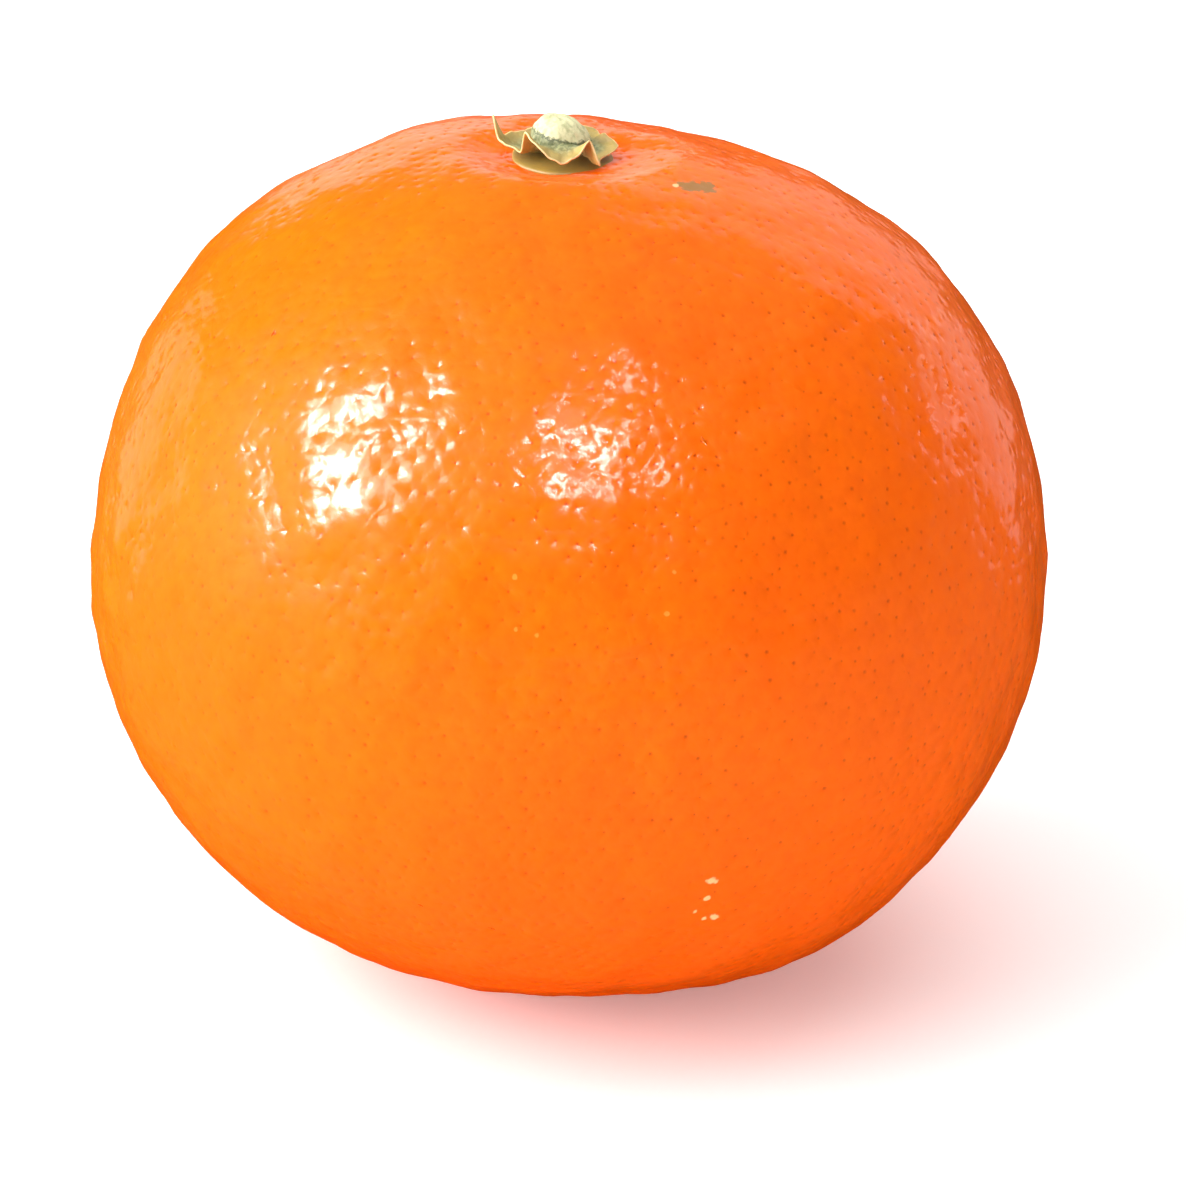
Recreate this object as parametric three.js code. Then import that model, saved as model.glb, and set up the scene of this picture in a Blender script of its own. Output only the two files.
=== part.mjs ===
// A whole mandarin with its stalk end on: the fruit, the small disc that the stalk sat on,
// the dried five-lobed calyx and the cut stub of the stalk.
// Millimetres, +Z up. The fruit stands on z = 0 with its stalk end up, and its front is at -Y.
import * as THREE from "three";

// Driving dimensions of the fruit, from its own centre
const equatorRadius = 32;
const stalkEndHeight = 29.4;
const blossomEndHeight = 28.8;
const squareness = 2.1; // 2 is an ellipsoid, more has fuller shoulders
const restDepth = 27.9; // from the centre down to the flat spot that the fruit rests on

// The shallow dish round the stalk, which leans to the front
const dishDepth = 1.2;
const dishRadius = 6;
const dishLean = 0.1; // rise from front to back per unit of length

// Broad lumps that make the fruit uneven, each named for where it lies.
// Azimuth runs from +X towards +Y and elevation up from the equator, both in degrees.
const lumps = [
  { name: "right of the stalk, pressed flat", azimuth: 49, elevation: 67, height: -0.9, spread: 22 },
  { name: "left shoulder", azimuth: 167, elevation: 38, height: 0.3, spread: 22 },
  { name: "left side, under the shoulder", azimuth: 176, elevation: 16, height: -0.45, spread: 20 },
  { name: "low on the right", azimuth: -36, elevation: -48, height: 0.95, spread: 22 },
  { name: "right side", azimuth: -8, elevation: -10, height: 0.25, spread: 24 },
  { name: "low in front", azimuth: -75, elevation: -66, height: -0.35, spread: 18 },
  { name: "back of the left side", azimuth: 140, elevation: -20, height: 0.3, spread: 26 },
  { name: "back, under the shoulder", azimuth: 80, elevation: 20, height: -0.35, spread: 26 },
];

// Driving dimensions of the stalk end
const gap = 0.3; // clear space between neighbouring pieces
const discRadius = 3.35;
const discThickness = 0.3;
const calyxThickness = 0.25;
const stubTopHeight = 2.8; // above the bottom of the dish
const stubRadius = 1.95;

// The calyx: five lobes in one papery star, whose edge waves up between the lobes
const lobeCount = 5;
const frontAzimuth = -Math.PI / 2; // one lobe faces the front
const lobeReach = 4.1;
const notchReach = 3.2;
const calyxDishing = 3.5; // power of the radius by which the sheet rises: it is flat under the stub
const calyxRimRise = 0.15; // the lobes' tips over the middle of the calyx
const calyxWaveRise = 1.1; // the folds between the lobes over the lobes' tips
const curledTip = { azimuth: 175, rise: 1.1, spread: 20 }; // the left lobe stands up at its tip

// The stub's cut end slopes down to the right
const cutSlope = { azimuth: -10, drop: 0.26 }; // drop per unit of length

const colours = { peel: 0xf57c14, disc: 0xb08a3c, calyx: 0xc8a255, stub: 0xe6e0b0 };

// A closed surface round the Z axis: pointAt(down, turn) is asked for down from 0, the top pole,
// to 1, the bottom pole, and for turn, the angle from +X.
function closedSurface(ringCount, segmentCount, pointAt) {
  const points = [pointAt(0, 0)];
  for (let ring = 1; ring < ringCount; ring += 1) {
    for (let segment = 0; segment < segmentCount; segment += 1) {
      points.push(pointAt(ring / ringCount, (2 * Math.PI * segment) / segmentCount));
    }
  }
  points.push(pointAt(1, 0));

  const bottomPole = points.length - 1;
  const vertex = (ring, segment) => 1 + (ring - 1) * segmentCount + (segment % segmentCount);
  const triangles = [];
  for (let segment = 0; segment < segmentCount; segment += 1) {
    triangles.push(0, vertex(1, segment), vertex(1, segment + 1));
    for (let ring = 1; ring < ringCount - 1; ring += 1) {
      const upperLeft = vertex(ring, segment);
      const upperRight = vertex(ring, segment + 1);
      const lowerLeft = vertex(ring + 1, segment);
      const lowerRight = vertex(ring + 1, segment + 1);
      triangles.push(upperLeft, lowerLeft, lowerRight);
      triangles.push(upperLeft, lowerRight, upperRight);
    }
    triangles.push(bottomPole, vertex(ringCount - 1, segment + 1), vertex(ringCount - 1, segment));
  }

  const geometry = new THREE.BufferGeometry().setFromPoints(points);
  geometry.setIndex(triangles);
  geometry.computeVertexNormals();
  return geometry;
}

function direction(azimuth, elevation) {
  return new THREE.Vector3(
    Math.cos(elevation) * Math.cos(azimuth),
    Math.cos(elevation) * Math.sin(azimuth),
    Math.sin(elevation),
  );
}

// How far a lump lifts the peel in the given direction
function lumpHeight(lump, outward) {
  const centre = direction(THREE.MathUtils.degToRad(lump.azimuth), THREE.MathUtils.degToRad(lump.elevation));
  const away = outward.angleTo(centre) / THREE.MathUtils.degToRad(lump.spread);
  return lump.height * Math.exp(-away * away);
}

// A point of the peel: a full-shouldered oval, its lumps, the dish at the top and the flat spot below
function peelPoint(azimuth, elevation) {
  const outward = direction(azimuth, elevation);
  const across = Math.hypot(outward.x, outward.y) / equatorRadius;
  const along = Math.abs(outward.z) / (outward.z > 0 ? stalkEndHeight : blossomEndHeight);
  const oval = (across ** squareness + along ** squareness) ** (-1 / squareness);
  const radius = lumps.reduce((sum, lump) => sum + lumpHeight(lump, outward), oval);

  const point = outward.multiplyScalar(radius);
  if (point.z > 0) {
    const nearAxis = Math.exp(-((Math.hypot(point.x, point.y) / dishRadius) ** 4));
    point.z -= (dishDepth - dishLean * point.y) * nearAxis;
  }
  if (point.z < -restDepth) {
    point.multiplyScalar(-restDepth / point.z);
  }
  return point;
}

function fruitGeometry() {
  return closedSurface(48, 66, (down, turn) => peelPoint(turn, Math.PI * (0.5 - down)));
}

// A thin round plate with a rounded edge, its underside at z = 0
function discGeometry() {
  const halfThickness = discThickness / 2;
  const profile = [
    new THREE.Vector2(0, 0),
    new THREE.Vector2(discRadius - halfThickness, 0),
    new THREE.Vector2(discRadius, halfThickness),
    new THREE.Vector2(discRadius - halfThickness, discThickness),
    new THREE.Vector2(0, discThickness),
  ];
  const geometry = new THREE.LatheGeometry(profile, 40);
  geometry.rotateX(Math.PI / 2);
  return geometry;
}

// How far the edge of the calyx reaches, from the notches between the lobes to the lobes' tips
function calyxReach(turn) {
  const lobe = 0.5 + 0.5 * Math.cos(lobeCount * (turn - frontAzimuth));
  return notchReach + (lobeReach - notchReach) * lobe;
}

// How high the edge of the calyx stands: low at a lobe's tip, high at a fold
function calyxEdgeRise(turn) {
  const fold = 0.5 - 0.5 * Math.cos(lobeCount * (turn - frontAzimuth));
  const fromTip = THREE.MathUtils.radToDeg(turn) - curledTip.azimuth;
  const curl = curledTip.rise * Math.exp(-((fromTip / curledTip.spread) ** 2));
  return calyxRimRise + calyxWaveRise * fold + curl;
}

// The sheet runs out from the middle along its top, round the edge and back along its underside
function calyxGeometry() {
  return closedSurface(20, 60, (down, turn) => {
    const outOnTop = Math.min(down, 1 - down) * 2;
    const reach = calyxReach(turn) * outOnTop;
    const sheet = calyxEdgeRise(turn) * outOnTop ** calyxDishing;
    const taper = Math.sqrt(1 - outOnTop ** 4);
    const side = down < 0.5 ? 1 : -1;
    const height = sheet + (side * taper * calyxThickness) / 2;
    return new THREE.Vector3(reach * Math.cos(turn), reach * Math.sin(turn), height);
  });
}

// A short post with a rounded, sloping top on a flat foot at z = 0
function stubGeometry(height) {
  const footShare = 0.2; // of the rings, which close the flat foot
  const slopeAzimuth = THREE.MathUtils.degToRad(cutSlope.azimuth);
  return closedSurface(16, 36, (down, turn) => {
    const onFoot = down > 1 - footShare;
    const fromTop = Math.min(down / (1 - footShare), 1) * (Math.PI / 2);
    const radius = onFoot ? (stubRadius * (1 - down)) / footShare : stubRadius * Math.sin(fromTop) ** 0.8;
    const x = radius * Math.cos(turn);
    const y = radius * Math.sin(turn);
    const downSlope = x * Math.cos(slopeAzimuth) + y * Math.sin(slopeAzimuth);
    const level = onFoot ? 0 : Math.cos(fromTop) ** 0.7;
    const z = level * (height - cutSlope.drop * (downSlope + stubRadius / 2));
    return new THREE.Vector3(x, y, z);
  });
}

function piece(name, geometry, colour, roughness, base) {
  const material = new THREE.MeshStandardMaterial({ color: colour, roughness, metalness: 0 });
  const mesh = new THREE.Mesh(geometry, material);
  mesh.name = name;
  mesh.position.z = base;
  return mesh;
}

// The pieces of the stalk end are stacked up from the bottom of the dish, each clear of the next,
// and lean with the dish
const discBase = gap;
const calyxMiddle = discBase + discThickness + gap + calyxThickness / 2;
const stubBase = calyxMiddle + calyxThickness / 2 + gap;

const stalkEnd = new THREE.Group();
stalkEnd.position.z = peelPoint(0, Math.PI / 2).z;
stalkEnd.rotation.x = Math.atan(dishLean);
stalkEnd.add(
  piece("floral_disc", discGeometry(), colours.disc, 0.7, discBase),
  piece("calyx", calyxGeometry(), colours.calyx, 0.75, calyxMiddle),
  piece("stem_stub", stubGeometry(stubTopHeight - stubBase), colours.stub, 0.8, stubBase),
);

const mandarin = new THREE.Group();
mandarin.add(piece("fruit", fruitGeometry(), colours.peel, 0.35, 0), stalkEnd);

// Stand the fruit on z = 0 and centre the whole on the Z axis
const bounds = new THREE.Box3().setFromObject(mandarin, true);
const middle = bounds.getCenter(new THREE.Vector3());
mandarin.position.set(-middle.x, -middle.y, -bounds.min.z);

export default mandarin;
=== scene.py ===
"""A whole mandarin with its dried calyx and cut stalk stub, standing on a white floor."""
import math

import bmesh
import bpy
import numpy as np
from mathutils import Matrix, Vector


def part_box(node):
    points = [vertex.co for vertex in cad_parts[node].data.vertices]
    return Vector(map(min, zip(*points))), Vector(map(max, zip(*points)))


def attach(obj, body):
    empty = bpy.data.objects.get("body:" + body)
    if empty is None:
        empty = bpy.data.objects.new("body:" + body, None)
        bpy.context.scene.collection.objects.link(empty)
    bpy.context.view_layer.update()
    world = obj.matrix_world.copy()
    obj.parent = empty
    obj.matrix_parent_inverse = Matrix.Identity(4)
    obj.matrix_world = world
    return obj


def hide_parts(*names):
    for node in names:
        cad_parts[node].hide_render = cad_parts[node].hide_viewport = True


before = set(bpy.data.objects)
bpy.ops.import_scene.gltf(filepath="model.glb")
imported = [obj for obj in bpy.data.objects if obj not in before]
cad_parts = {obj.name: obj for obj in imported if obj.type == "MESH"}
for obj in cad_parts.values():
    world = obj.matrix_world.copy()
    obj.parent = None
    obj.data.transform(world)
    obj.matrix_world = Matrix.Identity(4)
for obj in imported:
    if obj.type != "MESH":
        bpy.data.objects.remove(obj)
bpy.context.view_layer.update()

MM = 0.001
fruit_low, fruit_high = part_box("fruit")
fruit_centre = (Vector(fruit_low) + Vector(fruit_high)) / 2

# The fruit's own shape, in millimetres from its own centre, as in the CAD part.
EQUATOR_RADIUS = 32.0
STALK_END_HEIGHT = 29.4
BLOSSOM_END_HEIGHT = 28.8
SQUARENESS = 2.1
REST_DEPTH = 27.9
DISH_DEPTH = 1.2
DISH_RADIUS = 6.0
DISH_LEAN = 0.1             # rise from front to back per unit of length
# Broad lumps: azimuth and elevation in degrees, height in millimetres, spread in degrees.
LUMPS = [
    (49, 67, -0.90, 22),    # right of the stalk, pressed flat
    (167, 38, 0.30, 22),    # left shoulder
    (176, 16, -0.45, 20),   # left side, under the shoulder
    (-36, -48, 0.95, 22),   # low on the right
    (-8, -10, 0.25, 24),    # right side
    (-75, -66, -0.35, 18),  # low in front
    (140, -20, 0.30, 26),   # back of the left side
    (80, 20, -0.35, 26),    # back, under the shoulder
]

# The peel's skin, in millimetres.
GLAND_GRID = 6              # subdivisions of the geodesic grid that spaces the oil glands
GLAND_RADIUS = (0.10, 0.22)
GLAND_DEPTH = (0.01, 0.08)
GLAND_JITTER = 0.30         # share of the spacing by which a gland strays from the grid
SKIN_BULGE = 0.008          # how far the skin between glands stands proud
WAVES = [(9.0, 0.060), (4.0, 0.042), (2.4, 0.014)]  # wavelength and height of the unevenness
FLAT_FADE = 0.8             # height over the flat spot in which the unevenness fades in

# Marks on the peel, and painted glints: azimuth and elevation in degrees, and width in millimetres.
CORKY_SCAR = [(-38.8, 70.2, 1.5), (-35.8, 69.4, 1.8), (-32.6, 68.8, 1.6)]
STYLAR_SCAR = [(0, -90, 2.6)]
# Painted glints: small pale spots in the peel's colour.
PALE_PAINTED_GLINTS = [
    (-42.5, 71.2, 0.5), (-72.1, -20.1, 0.75), (-72.3, -23.0, 0.55), (-70.5, -27.0, 0.75),
    (-71.9, -27.2, 0.5), (-73.5, -25.5, 0.4),
]
# Painted glints: faint lighter spots in the peel's colour.
FAINT_PAINTED_GLINTS = [
    (-87.0, 18.7, 0.3), (-95.8, 13.4, 0.35), (-93.4, 12.8, 0.4), (-77.2, 19.3, 0.35),
    (-78.4, 14.8, 0.35), (-96.0, 19.2, 0.4),
]

# The stalk end, in millimetres from the bottom of the dish.
STALK_MIDDLE = (-0.25, 0.0)
DISC_RADIUS = 3.3
DISC_THICKNESS = 0.18
CALYX_THICKNESS = 0.10
CALYX_ROWS = 20             # rings of points from the stub to the rim
RIM_STEPS = 12              # points from one rim station to the next
CALYX_INNER_RADIUS = 1.0    # hidden inside the stub
CALYX_RISE_POWER = 1.5      # of the share of the way out, by which the sheet rises
CURLED_TIP = {"angle": 180, "spread": 13, "power": 4.5}  # rises only near its rim
CALYX_ROOT = (0.55, 1.60)   # height where it leaves the stub, at the back and at the front lobe
STUB_RADIUS = 1.97
STUB_FOOT = 1.0             # height of its underside
CUT_HEIGHT = 2.25           # the cut face's middle, before it is domed
CUT_SLOPE = (-0.22, 0.03)   # its rise to the right and to the back per unit of length
CUT_CROWN = 0.50            # how far its middle is domed
STUB_EDGE = 0.60            # share of the radius that rounds over
STUB_EDGE_RISE = 0.85       # height of the rounding over its width
FIBRE_HEIGHT = 0.05         # relief of the side and of the cut face
GRAIN_HEIGHT = 0.03
# The calyx's rim, going round: angle from +X in degrees, reach and height.
CALYX_RIM = [
    (-175, 4.20, 1.45), (-165, 3.95, 1.30), (-156, 3.45, 1.05), (-148, 3.20, 0.90),  # left lobe
    (-141, 3.25, 1.80), (-136, 3.35, 2.38), (-131, 3.40, 2.42), (-124, 3.50, 2.10),  # first fold
    (-112, 3.60, 1.60), (-102, 3.65, 1.10), (-90, 3.70, 0.78), (-78, 3.70, 1.00),    # front lobe
    (-69, 3.60, 1.50), (-62, 3.50, 1.95), (-57, 3.50, 1.90), (-53, 4.10, 0.45),      # second fold
    (-40, 3.30, 0.50), (-20, 3.40, 0.60), (-5, 3.70, 0.80), (10, 3.50, 0.85),        # right lobe
    (20, 3.10, 1.15), (34, 3.10, 0.95), (54, 3.80, 0.85), (72, 3.30, 1.20),          # back lobes
    (90, 3.00, 1.50), (108, 3.30, 1.20), (126, 3.80, 0.90), (145, 3.10, 1.20),
    (160, 3.55, 1.35), (170, 3.95, 1.40), (177, 4.45, 2.75), (-179, 4.42, 2.60),        # curled tip
]


# ---------------------------------------------------------------- small helpers

def unit(vectors):
    return vectors / np.linalg.norm(vectors, axis=-1, keepdims=True)


def direction(azimuth, elevation):
    """The unit vector at an azimuth from +X and an elevation above the equator, in degrees."""
    azimuth = math.radians(azimuth)
    elevation = math.radians(elevation)
    level = math.cos(elevation)
    return np.array([level * math.cos(azimuth), level * math.sin(azimuth), math.sin(elevation)])


def waves(points, wavelength, seed, count=48):
    """Smooth seeded unevenness about one unit high: a sum of cosines in random directions."""
    random = np.random.default_rng(seed)
    headings = unit(random.normal(size=(count, 3)))
    lengths = wavelength * random.uniform(0.75, 1.35, size=(count, 1))
    phases = random.uniform(0, 2 * math.pi, size=count)
    angles = points @ (2 * math.pi * headings / lengths).T + phases
    return np.cos(angles).sum(axis=1) / math.sqrt(count / 2)


def new_piece(name, points_mm, faces, offset):
    """A smooth-shaded mesh object from points in millimetres, moved by offset in metres."""
    mesh = bpy.data.meshes.new(name)
    points = points_mm * MM + np.array(offset)
    mesh.from_pydata(points.tolist(), [], [list(face) for face in faces])
    mesh.validate()
    mesh.shade_smooth()
    piece = bpy.data.objects.new(name, mesh)
    bpy.context.scene.collection.objects.link(piece)
    return piece


def set_mask(piece, name, values):
    """Stores one number for each point, for the material to read."""
    mask = piece.data.attributes.new(name, "FLOAT", "POINT")
    mask.data.foreach_set("value", np.asarray(values, dtype=np.float32))


# ---------------------------------------------------------------- the fruit's shape

def peel_points(directions):
    """Points of the smooth fruit along unit directions, the same formula as the CAD part's."""
    across = np.hypot(directions[:, 0], directions[:, 1]) / EQUATOR_RADIUS
    heights = np.where(directions[:, 2] > 0, STALK_END_HEIGHT, BLOSSOM_END_HEIGHT)
    along = np.abs(directions[:, 2]) / heights
    radius = (across ** SQUARENESS + along ** SQUARENESS) ** (-1 / SQUARENESS)
    for azimuth, elevation, height, spread in LUMPS:
        away = np.arccos(np.clip(directions @ direction(azimuth, elevation), -1, 1))
        radius += height * np.exp(-(away / math.radians(spread)) ** 2)
    points = directions * radius[:, None]
    from_axis = np.hypot(points[:, 0], points[:, 1])
    dish = (DISH_DEPTH - DISH_LEAN * points[:, 1]) * np.exp(-(from_axis / DISH_RADIUS) ** 4)
    points[:, 2] -= np.where(points[:, 2] > 0, dish, 0)
    low = points[:, 2] < -REST_DEPTH
    points[low] *= (-REST_DEPTH / points[low, 2])[:, None]
    return points


def peel_place(azimuth, elevation):
    """The point of the smooth peel at an azimuth and elevation, in metres."""
    point = peel_points(direction(azimuth, elevation)[None])[0]
    return (fruit_centre.x + point[0] * MM, fruit_centre.y + point[1] * MM,
            (REST_DEPTH + point[2]) * MM)


def gland_sites(random):
    """Directions of the oil glands, strayed off a geodesic grid, and the grid's triangles."""
    grid = bmesh.new()
    bmesh.ops.create_icosphere(grid, subdivisions=GLAND_GRID, radius=1)
    sites = np.array([vertex.co for vertex in grid.verts])
    triangles = np.array([[vertex.index for vertex in face.verts] for face in grid.faces])
    grid.free()
    spacing = np.linalg.norm(sites[triangles[:, 0]] - sites[triangles[:, 1]], axis=1).mean()
    return unit(sites + random.uniform(-1, 1, size=sites.shape) * GLAND_JITTER * spacing), triangles


def pitted_sphere():
    """A unit sphere's points and triangles, with a six-sided pit drawn round every oil gland.

    Each grid triangle a, b, c becomes a corner triangle at each gland and six round its middle.
    Also returns each point's gland depth (0 off a gland) and whether it is a triangle's middle.
    """
    random = np.random.default_rng(3)
    sites, triangles = gland_sites(random)
    gland_radius = random.uniform(*GLAND_RADIUS, size=len(sites)) / EQUATOR_RADIUS
    gland_depth = random.uniform(*GLAND_DEPTH, size=len(sites))

    directed = triangles[:, [0, 1, 1, 2, 2, 0]].reshape(-1, 2)
    edges, edge_of = np.unique(np.sort(directed, axis=1), axis=0, return_inverse=True)
    edge_of = edge_of.reshape(-1)
    start, end = sites[edges[:, 0]], sites[edges[:, 1]]
    length = np.linalg.norm(end - start, axis=1)
    near_start = start + (end - start) * (gland_radius[edges[:, 0]] / length)[:, None]
    near_end = end + (start - end) * (gland_radius[edges[:, 1]] / length)[:, None]
    middles = sites[triangles].mean(axis=1)
    points = unit(np.concatenate([sites, near_start, near_end, middles]))

    # The rim point next to a directed edge's first gland, and next to its second.
    forward = directed[:, 0] == edges[edge_of, 0]
    first_rim = (len(sites) + edge_of + np.where(forward, 0, len(edges))).reshape(-1, 3)
    second_rim = (len(sites) + edge_of + np.where(forward, len(edges), 0)).reshape(-1, 3)
    middle = len(sites) + 2 * len(edges) + np.arange(len(triangles))
    faces = []
    for corner in range(3):
        before = (corner + 2) % 3
        faces.append(np.stack([triangles[:, corner], first_rim[:, corner], second_rim[:, before]], 1))
        faces.append(np.stack([middle, first_rim[:, corner], second_rim[:, corner]], 1))
        faces.append(np.stack([middle, second_rim[:, before], first_rim[:, corner]], 1))
    depth = np.zeros(len(points))
    depth[:len(sites)] = gland_depth
    is_middle = np.arange(len(points)) >= middle[0]
    return points, np.concatenate(faces), depth, is_middle


def make_fruit():
    directions, faces, gland_depth, is_middle = pitted_sphere()
    points = peel_points(directions)
    above_flat = np.clip((points[:, 2] + REST_DEPTH) / FLAT_FADE, 0, 1)
    lift = SKIN_BULGE * is_middle * above_flat - gland_depth
    for seed, (wavelength, height) in enumerate(WAVES):
        lift = lift + height * waves(points, wavelength, seed) * above_flat
    points += directions * lift[:, None]
    points[:, 2] = np.maximum(points[:, 2], -REST_DEPTH)
    offset = (fruit_centre.x, fruit_centre.y, REST_DEPTH * MM)
    fruit = new_piece("fruit_peel", points, faces, offset)
    set_mask(fruit, "gland", gland_depth / GLAND_DEPTH[1])
    fruit.data.materials.append(peel_material())
    finish_piece(fruit, "fruit")


# ---------------------------------------------------------------- the stalk end

def stalk_offset():
    """The bottom of the dish, in metres, where the stalk end's own measure starts."""
    bottom = peel_points(np.array([[0.0, 0.0, 1.0]]))[0]
    return (fruit_centre.x + STALK_MIDDLE[0] * MM, fruit_centre.y + STALK_MIDDLE[1] * MM,
            (REST_DEPTH + bottom[2]) * MM)


def dish_height(x, y):
    """Height of the peel over the bottom of the dish, beside the stalk end's middle."""
    place = np.stack([x + STALK_MIDDLE[0], y + STALK_MIDDLE[1], np.full_like(x, STALK_END_HEIGHT)], -1)
    heights = peel_points(unit(place.reshape(-1, 3)))[:, 2].reshape(x.shape)
    return heights - peel_points(np.array([[0.0, 0.0, 1.0]]))[0, 2]


def grid_faces(rows, columns):
    """Quads of a grid whose columns close on themselves."""
    row, column = np.meshgrid(np.arange(rows - 1), np.arange(columns), indexing="ij")
    beside = (column + 1) % columns
    here = row * columns
    below = here + columns
    corners = [here + column, here + beside, below + beside, below + column]
    return np.stack([corner.reshape(-1) for corner in corners], axis=1)


def smooth_loop(stations, steps):
    """A closed Catmull-Rom curve through the stations, with steps points from one to the next."""
    before, after, beyond = (np.roll(stations, shift, axis=0) for shift in (1, -1, -2))
    share = np.linspace(0, 1, steps, endpoint=False)[None, :, None]
    start, end = stations[:, None], after[:, None]
    start_slope = (end - before[:, None]) / 2
    end_slope = (beyond[:, None] - start) / 2
    ease = 3 * share ** 2 - 2 * share ** 3
    leaving = share ** 3 - 2 * share ** 2 + share
    arriving = share ** 3 - share ** 2
    curve = start * (1 - ease) + end * ease + start_slope * leaving + end_slope * arriving
    return curve.reshape(-1, stations.shape[1])


def add_modifier(piece, kind, **settings):
    modifier = piece.modifiers.new(kind.lower(), kind)
    for key, value in settings.items():
        setattr(modifier, key, value)
    with bpy.context.temp_override(object=piece, active_object=piece):
        bpy.ops.object.modifier_apply(modifier=modifier.name)


def make_calyx():
    """A wavy star of dry sheet, from inside the stub out to its rim."""
    angle, reach, rise = np.array(CALYX_RIM).T
    angle = np.radians(angle)
    stations = np.stack([reach * np.cos(angle), reach * np.sin(angle), rise], axis=1)
    rim = smooth_loop(stations, RIM_STEPS)
    heading = unit(rim[:, :2])
    toward_front = 0.5 - 0.5 * heading[:, 1]
    root_height = CALYX_ROOT[0] + (CALYX_ROOT[1] - CALYX_ROOT[0]) * toward_front ** 12
    root = np.column_stack([heading * CALYX_INNER_RADIUS, root_height])
    outward = np.linspace(0, 1, CALYX_ROWS)[:, None, None]
    sheet = root + (rim - root) * outward
    from_tip = (np.degrees(np.arctan2(rim[:, 1], rim[:, 0])) - CURLED_TIP["angle"]) % 360
    from_tip = np.minimum(from_tip, 360 - from_tip)
    curl = np.exp(-(from_tip / CURLED_TIP["spread"]) ** 2)
    easing = outward[..., 0] ** (CALYX_RISE_POWER + CURLED_TIP["power"] * curl)
    sheet[..., 2] = root[:, 2] + (rim[:, 2] - root[:, 2]) * easing
    points = sheet.reshape(-1, 3)
    creases = waves(points * [1, 1, 0.3], 0.9, 11) * 0.035 + waves(points, 0.4, 12) * 0.012
    points[:, 2] += creases * np.repeat(outward.reshape(-1), len(rim)) ** 0.5
    calyx = new_piece("calyx_sheet", points, grid_faces(CALYX_ROWS, len(rim)), stalk_offset())
    set_mask(calyx, "rim", np.repeat(outward.reshape(-1), len(rim)))
    add_modifier(calyx, "SOLIDIFY", thickness=CALYX_THICKNESS * MM, offset=0)
    calyx.data.materials.append(calyx_material())
    finish_piece(calyx, "calyx")


def make_disc():
    """A thin round pad that lies on the peel, with a rounded and slightly uneven edge."""
    outward = np.array([0.0, 0.35, 0.7, 0.9, 0.97, 1.0, 1.0, 0.97])
    height = np.array([1.0, 1.0, 1.0, 0.95, 0.75, 0.35, -0.4, -0.8]) * DISC_THICKNESS
    turn = np.linspace(0, 2 * math.pi, 96, endpoint=False)
    uneven = 1 + 0.015 * np.cos(3 * turn + 1) + 0.012 * np.cos(7 * turn)
    x = DISC_RADIUS * outward[:, None] * uneven * np.cos(turn)
    y = DISC_RADIUS * outward[:, None] * uneven * np.sin(turn)
    z = dish_height(x, y) + height[:, None]
    points = np.stack([x, y, z], axis=-1).reshape(-1, 3)
    faces = grid_faces(len(outward), len(turn))[:, ::-1].tolist()
    last_ring = range((len(outward) - 1) * len(turn), len(outward) * len(turn))
    faces.append(list(last_ring)[::-1])
    disc = new_piece("floral_disc_pad", points, faces, stalk_offset())
    disc.data.materials.append(disc_material())
    finish_piece(disc, "floral_disc")


def make_stub():
    """The stub: upright fibrous sides that round over into a slanted, domed cut face."""
    columns = 120
    turn = np.linspace(0, 2 * math.pi, columns, endpoint=False)
    up_the_side = np.linspace(0, 1, 22)
    over_the_edge = np.radians(np.linspace(0, 90, 12))[1:]
    across_the_face = np.linspace(1 - STUB_EDGE, 0, 20)[1:]
    round_edge = 1 - STUB_EDGE * (1 - np.cos(over_the_edge))
    share = np.concatenate([np.ones_like(up_the_side), round_edge, across_the_face])
    on_side = np.concatenate([up_the_side, np.ones(len(round_edge) + len(across_the_face))])
    on_edge = np.concatenate([np.zeros_like(up_the_side), np.sin(over_the_edge), np.ones_like(across_the_face)])

    ragged = 1 + 0.02 * np.cos(3 * turn + 0.5) + 0.015 * np.cos(5 * turn + 2)
    x = STUB_RADIUS * share[:, None] * ragged * np.cos(turn)
    y = STUB_RADIUS * share[:, None] * ragged * np.sin(turn)
    face = CUT_HEIGHT + CUT_SLOPE[0] * x + CUT_SLOPE[1] * y + CUT_CROWN * (1 - share[:, None] ** 2)
    edge_height = STUB_EDGE_RISE * STUB_EDGE * STUB_RADIUS
    side_top = face - edge_height
    z = STUB_FOOT + (side_top - STUB_FOOT) * on_side[:, None] + edge_height * on_edge[:, None]
    points = np.stack([x, y, z], axis=-1).reshape(-1, 3)

    cut = np.repeat(on_edge, columns)
    fibres = waves(points * [1, 1, 0.12], 0.5, 21) * FIBRE_HEIGHT * (1 - cut)
    grain = waves(points, 0.7, 22) * GRAIN_HEIGHT * cut
    outward = unit(points[:, :2] + 1e-6)
    points += np.column_stack([outward * fibres[:, None], grain])
    faces = grid_faces(len(share), columns).tolist()
    faces.append(list(range(columns))[::-1])
    stub = new_piece("stem_stub_wood", points, faces, stalk_offset())
    set_mask(stub, "cut", cut)
    stub.data.materials.append(stub_material())
    finish_piece(stub, "stem_stub")


def finish_piece(piece, node):
    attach(piece, "root")
    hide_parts(node)


# ---------------------------------------------------------------- materials

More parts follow.
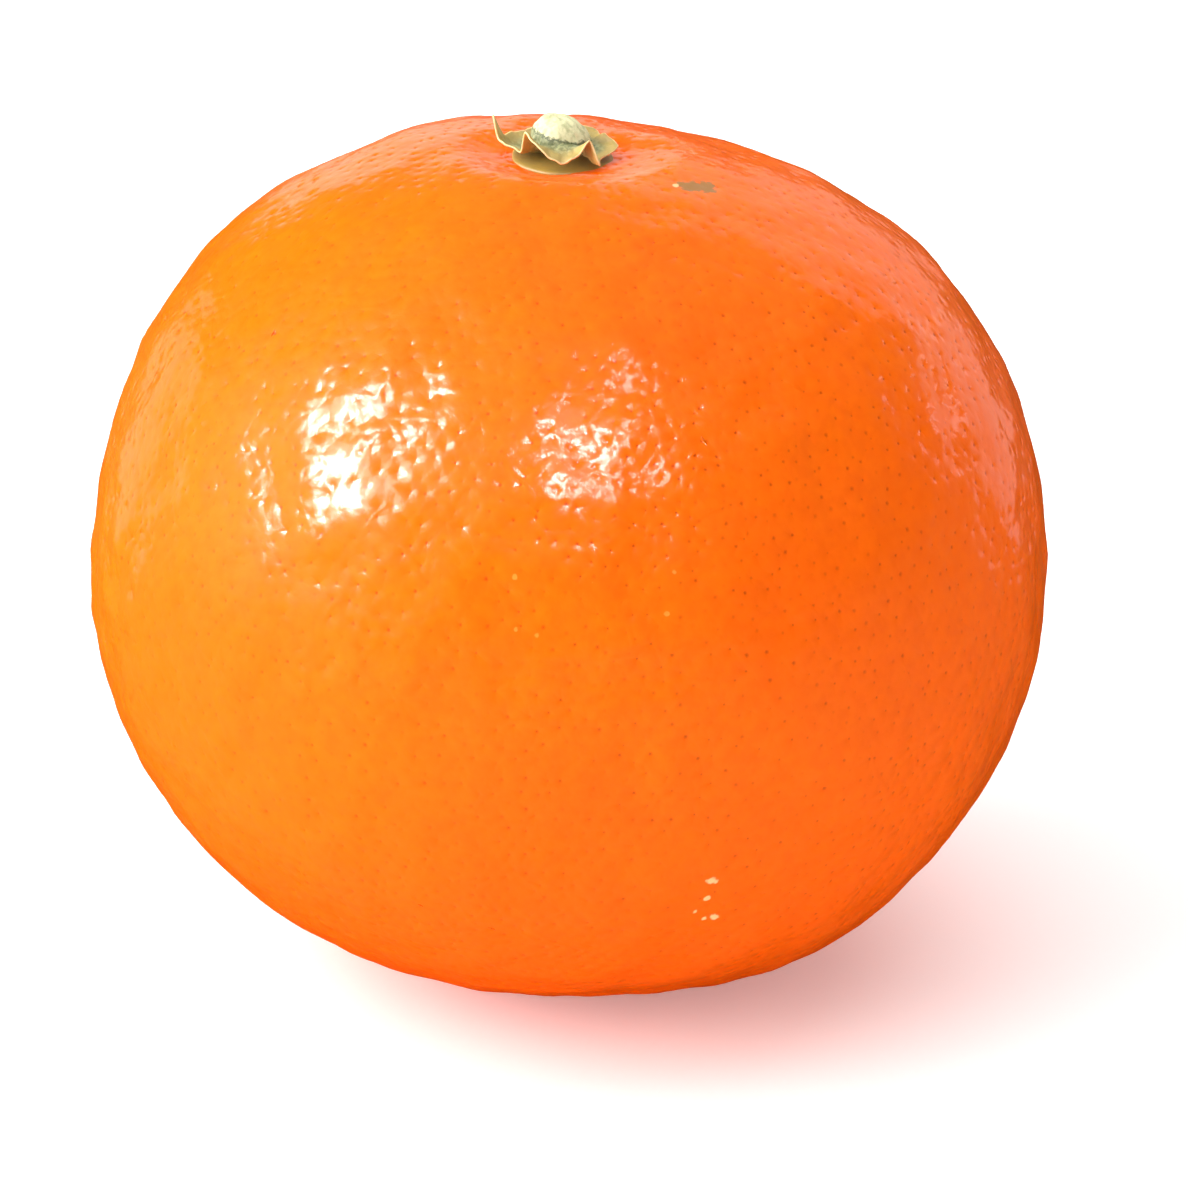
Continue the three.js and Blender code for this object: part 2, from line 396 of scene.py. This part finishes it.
class Nodes:
    """A thin wrapper that adds shader nodes and joins them by socket name."""

    def __init__(self, name):
        self.material = bpy.data.materials.new(name)
        self.material.use_nodes = True
        self.tree = self.material.node_tree
        self.shader = self.tree.nodes["Principled BSDF"]

    def add(self, kind, settings=None, **inputs):
        node = self.tree.nodes.new(kind)
        for key, value in (settings or {}).items():
            setattr(node, key, value)
        for key, value in inputs.items():
            self.join(node, key.replace("_", " "), value)
        return node

    def join(self, node, socket, value):
        if isinstance(value, bpy.types.NodeSocket):
            self.tree.links.new(value, node.inputs[socket])
        else:
            node.inputs[socket].default_value = value

    def place(self):
        """Coordinates in metres, fixed to the object."""
        return self.add("ShaderNodeTexCoord").outputs["Object"]

    def noise(self, size, detail=2.0, roughness=0.5, where=None):
        """Noise whose features are about size millimetres across, from 0 to 1."""
        node = self.add("ShaderNodeTexNoise", Vector=where or self.place(), Scale=1 / (size * MM),
                        Detail=detail, Roughness=roughness)
        return node.outputs["Fac"]

    def ramp(self, value, low, high, out_low=0.0, out_high=1.0):
        node = self.add("ShaderNodeMapRange", {"interpolation_type": "SMOOTHSTEP"}, Value=value)
        node.inputs["From Min"].default_value = low
        node.inputs["From Max"].default_value = high
        node.inputs["To Min"].default_value = out_low
        node.inputs["To Max"].default_value = out_high
        return node.outputs["Result"]

    def maths(self, operation, first, second):
        node = self.add("ShaderNodeMath", {"operation": operation})
        self.join(node, 0, first)
        self.join(node, 1, second)
        return node.outputs["Value"]

    def mask(self, name):
        return self.add("ShaderNodeAttribute", {"attribute_name": name}).outputs["Fac"]

    def mix(self, share, first, second):
        """Two colours mixed; share is how much of the second."""
        node = self.add("ShaderNodeMix", {"data_type": "RGBA"})
        self.join(node, 0, share)
        self.join(node, 6, first)
        self.join(node, 7, second)
        return node.outputs[2]

    def bump(self, height, distance, normal=None):
        """Relief of the given distance in millimetres."""
        node = self.add("ShaderNodeBump", Strength=1.0, Distance=distance * MM, Height=height)
        if normal:
            self.join(node, "Normal", normal)
        return node.outputs["Normal"]


def spots(nodes, marks_and_glints):
    """A mask of ragged-edged spots on the peel, from (azimuth, elevation, width) entries for marks and for
    painted glints.
    """
    ragged = nodes.noise(0.5, detail=3)
    mask = 0.0
    for azimuth, elevation, width in marks_and_glints:
        away = nodes.add("ShaderNodeVectorMath", {"operation": "DISTANCE"})
        nodes.join(away, 0, nodes.place())
        nodes.join(away, 1, peel_place(azimuth, elevation))
        in_widths = nodes.maths("DIVIDE", away.outputs["Value"], width * MM)
        uneven = nodes.maths("ADD", in_widths, nodes.maths("MULTIPLY", ragged, 0.9))
        mask = nodes.maths("MAXIMUM", mask, nodes.ramp(uneven, 0.75, 1.0, 1.0, 0.0))
    return mask


def peel_material():
    nodes = Nodes("peel")
    shader = nodes.shader
    broad = nodes.ramp(nodes.noise(22, detail=1), 0.35, 0.65)
    colour = nodes.mix(broad, (0.93, 0.125, 0.001, 1), (0.95, 0.145, 0.001, 1))
    height = nodes.add("ShaderNodeSeparateXYZ", Vector=nodes.place()).outputs["Z"]
    # Painted shade: the peel's colour is made darker towards the bottom of the fruit.
    low = nodes.ramp(height, 8 * MM, 34 * MM, 1.0, 0.0)
    colour = nodes.mix(low, colour, (0.90, 0.112, 0.001, 1))
    mottle = nodes.ramp(nodes.noise(1.1, detail=3), 0.3, 0.7)
    colour = nodes.mix(nodes.maths("MULTIPLY", mottle, 0.35), colour, (0.84, 0.095, 0.001, 1))
    # The oil glands' own darker colour, with painted shade in their pits: the deeper a pit, the darker it is
    # painted.
    gland = nodes.maths("MULTIPLY", nodes.mask("gland"), 0.8)
    colour = nodes.mix(gland, colour, (0.42, 0.030, 0.001, 1))
    colour = nodes.mix(spots(nodes, CORKY_SCAR + STYLAR_SCAR), colour, (0.34, 0.15, 0.035, 1))
    # Painted glints: pale spots mixed into the peel's colour.
    colour = nodes.mix(spots(nodes, PALE_PAINTED_GLINTS), colour, (0.95, 0.50, 0.22, 1))
    # Painted glints: faint lighter spots mixed into the peel's colour.
    colour = nodes.mix(spots(nodes, FAINT_PAINTED_GLINTS), colour, (0.95, 0.25, 0.03, 1))
    nodes.join(shader, "Base Color", colour)

    nodes.join(shader, "Roughness", nodes.ramp(nodes.noise(3, detail=3), 0.3, 0.7, 0.30, 0.42))
    nodes.join(shader, "Specular IOR Level", 0.04)
    nodes.join(shader, "Coat Weight", 0.35)
    nodes.join(shader, "Coat Roughness", 0.14)
    nodes.join(shader, "Subsurface Weight", 0.10)
    nodes.join(shader, "Subsurface Radius", (1.0, 0.25, 0.05))
    nodes.join(shader, "Subsurface Scale", 1.5 * MM)

    rippled = nodes.bump(nodes.noise(1.8, detail=2), 0.05)
    fine = nodes.bump(nodes.noise(0.35, detail=2), 0.012, rippled)
    nodes.join(shader, "Normal", fine)
    nodes.join(shader, "Coat Normal", fine)
    return nodes.material


def calyx_material():
    nodes = Nodes("calyx")
    shader = nodes.shader
    rim = nodes.mask("rim")
    dry = nodes.mix(nodes.ramp(nodes.noise(1.2, detail=3), 0.35, 0.65),
                    (0.52, 0.35, 0.08, 1), (0.40, 0.29, 0.065, 1))
    green = nodes.mix(nodes.ramp(nodes.noise(0.3, detail=3), 0.4, 0.6),
                      (0.20, 0.21, 0.08, 1), (0.40, 0.39, 0.18, 1))
    colour = nodes.mix(nodes.ramp(rim, 0.45, 0.90), green, dry)
    colour = nodes.mix(nodes.ramp(rim, 0.97, 1.0), colour, (0.80, 0.60, 0.26, 1))
    nodes.join(shader, "Base Color", colour)
    nodes.join(shader, "Roughness", 0.6)
    nodes.join(shader, "Subsurface Weight", 0.15)
    nodes.join(shader, "Subsurface Radius", (1.0, 0.6, 0.2))
    nodes.join(shader, "Subsurface Scale", 0.3 * MM)
    nodes.join(shader, "Normal", nodes.bump(nodes.noise(0.25, detail=3), 0.05))
    return nodes.material


def disc_material():
    nodes = Nodes("disc")
    colour = nodes.mix(nodes.ramp(nodes.noise(1.0, detail=3), 0.35, 0.65),
                       (0.44, 0.28, 0.04, 1), (0.38, 0.26, 0.045, 1))
    nodes.join(nodes.shader, "Base Color", colour)
    nodes.join(nodes.shader, "Roughness", 0.55)
    nodes.join(nodes.shader, "Normal", nodes.bump(nodes.noise(0.4, detail=2), 0.03))
    return nodes.material


def stub_material():
    nodes = Nodes("stub")
    cut = nodes.mask("cut")
    ragged = nodes.maths("ADD", cut, nodes.maths("MULTIPLY", nodes.noise(0.22, detail=3), 0.5))
    side = nodes.mix(nodes.ramp(nodes.noise(0.35, detail=4), 0.4, 0.6),
                     (0.17, 0.19, 0.07, 1), (0.34, 0.35, 0.17, 1))
    face = nodes.mix(nodes.ramp(nodes.noise(0.5, detail=4), 0.45, 0.7),
                     (0.70, 0.66, 0.36, 1), (0.46, 0.46, 0.22, 1))
    dark = nodes.mix(nodes.ramp(ragged, 0.50, 0.60), side, (0.12, 0.14, 0.05, 1))
    colour = nodes.mix(nodes.ramp(ragged, 0.62, 0.76), dark, face)
    nodes.join(nodes.shader, "Base Color", colour)
    nodes.join(nodes.shader, "Roughness", 0.75)
    nodes.join(nodes.shader, "Normal", nodes.bump(nodes.noise(0.2, detail=3), 0.06))
    return nodes.material


# ---------------------------------------------------------------- stage, lights and camera

CAMERA_ELEVATION = 22.0     # degrees above the table
CAMERA_DISTANCE = 380 * MM
FRUIT_SHARE = 0.804         # of the frame's width
AIM_RIGHT = 1.85 * MM       # the frame's centre lies right of and below the fruit's
AIM_UP = -3.1 * MM
SENSOR = 36.0
LAMP_DISTANCE = 500 * MM

# Lamps that only the gloss mirrors: azimuth, elevation and half-angle in degrees, radiance.
GLINTS = [
    (-155, 31, 7, 85), (-155, 35, 16, 15), (-149, 48, 4, 90), (-161, 41, 4, 75),     # main highlight
    (-89, 50, 3.0, 110), (-73, 50, 2.0, 90), (-84, 47, 1.6, 90), (-65, 62, 2.5, 55),  # second one
    (-93, 45, 1.5, 100), (-86, 43, 1.5, 100), (-72, 44, 1.6, 100), (-80, 52, 12, 3),
    (25, 14, 4, 5),                                                                  # right side
    (62, 26, 22, 1.0), (98, 12, 13, 1.3), (140, 2, 15, 1.1), (40, 2, 15, 1.2),       # pale edges
]
WORLD_LIGHT = 0.53
FLOOR_GLOW = 0.20           # keeps the white floor's shadows pale

toward_camera = Vector(direction(-90, CAMERA_ELEVATION))
picture_right = Vector((1, 0, 0))
picture_up = toward_camera.cross(picture_right)


def make_camera():
    data = bpy.data.cameras.new("camera")
    camera = bpy.data.objects.new("camera", data)
    bpy.context.scene.collection.objects.link(camera)
    fruit_width = fruit_high[0] - fruit_low[0]
    edge_distance = math.sqrt(CAMERA_DISTANCE ** 2 - (fruit_width / 2) ** 2)
    data.sensor_width = SENSOR
    data.lens = SENSOR * FRUIT_SHARE * edge_distance / fruit_width
    data.clip_start = 10 * MM
    data.clip_end = 10
    target = fruit_centre + picture_right * AIM_RIGHT + picture_up * AIM_UP
    camera.location = fruit_centre + toward_camera * CAMERA_DISTANCE
    camera.rotation_euler = (target - camera.location).to_track_quat("-Z", "Y").to_euler()
    bpy.context.scene.camera = camera


def soft_light(name, azimuth, elevation, half_angle, radiance, diffuse=True, glossy=True):
    """A round light that the fruit sees at half_angle degrees, as bright as radiance times white."""
    radius = LAMP_DISTANCE * math.tan(math.radians(half_angle))
    data = bpy.data.lights.new(name, "AREA")
    data.shape = "DISK"
    data.size = 2 * radius
    data.energy = radiance * math.pi * math.pi * radius ** 2
    light = bpy.data.objects.new(name, data)
    away = Vector(direction(azimuth, elevation))
    light.location = fruit_centre + away * LAMP_DISTANCE
    light.rotation_euler = away.to_track_quat("Z", "Y").to_euler()
    light.visible_camera = False
    light.visible_diffuse = diffuse
    light.visible_glossy = glossy
    bpy.context.scene.collection.objects.link(light)


def make_lights():
    """A broad key light, and separate lights for the gloss to mirror."""
    soft_light("key", azimuth=-167, elevation=28, half_angle=33, radiance=5.3, glossy=False)
    soft_light("overhead", azimuth=80, elevation=75, half_angle=40, radiance=1.3, glossy=False)
    soft_light("left_fill", azimuth=176, elevation=3, half_angle=25, radiance=1.6, glossy=False)
    for number, (azimuth, elevation, half_angle, radiance) in enumerate(GLINTS):
        soft_light(f"glint_{number}", azimuth, elevation, half_angle, radiance, diffuse=False)


def make_world():
    """Plain white to the camera, and a dimmer even light on everything else."""
    world = bpy.data.worlds.new("white")
    world.use_nodes = True
    world.cycles_visibility.glossy = False
    tree = world.node_tree
    path = tree.nodes.new("ShaderNodeLightPath")
    strength = tree.nodes.new("ShaderNodeMapRange")
    strength.inputs["To Min"].default_value = WORLD_LIGHT
    tree.links.new(path.outputs["Is Camera Ray"], strength.inputs["Value"])
    tree.links.new(strength.outputs["Result"], tree.nodes["Background"].inputs["Strength"])
    tree.nodes["Background"].inputs["Color"].default_value = (1, 1, 1, 1)
    bpy.context.scene.world = world


def make_floor():
    half_width = 3.0
    mesh = bpy.data.meshes.new("floor")
    corners = [(-half_width, -half_width, 0), (half_width, -half_width, 0),
               (half_width, half_width, 0), (-half_width, half_width, 0)]
    mesh.from_pydata(corners, [], [(0, 1, 2, 3)])
    floor = bpy.data.objects.new("floor", mesh)
    bpy.context.scene.collection.objects.link(floor)
    floor.visible_glossy = False
    nodes = Nodes("floor")
    nodes.join(nodes.shader, "Base Color", (0.93, 0.93, 0.93, 1))
    nodes.join(nodes.shader, "Roughness", 0.9)
    nodes.join(nodes.shader, "Specular IOR Level", 0.0)
    nodes.join(nodes.shader, "Emission Color", (1, 1, 1, 1))
    nodes.join(nodes.shader, "Emission Strength", FLOOR_GLOW)
    mesh.materials.append(nodes.material)


make_camera()
make_lights()
make_world()
make_floor()
make_fruit()
make_disc()
make_calyx()
make_stub()

scene = bpy.context.scene
scene.view_settings.view_transform = "Standard"
scene.view_settings.look = "None"
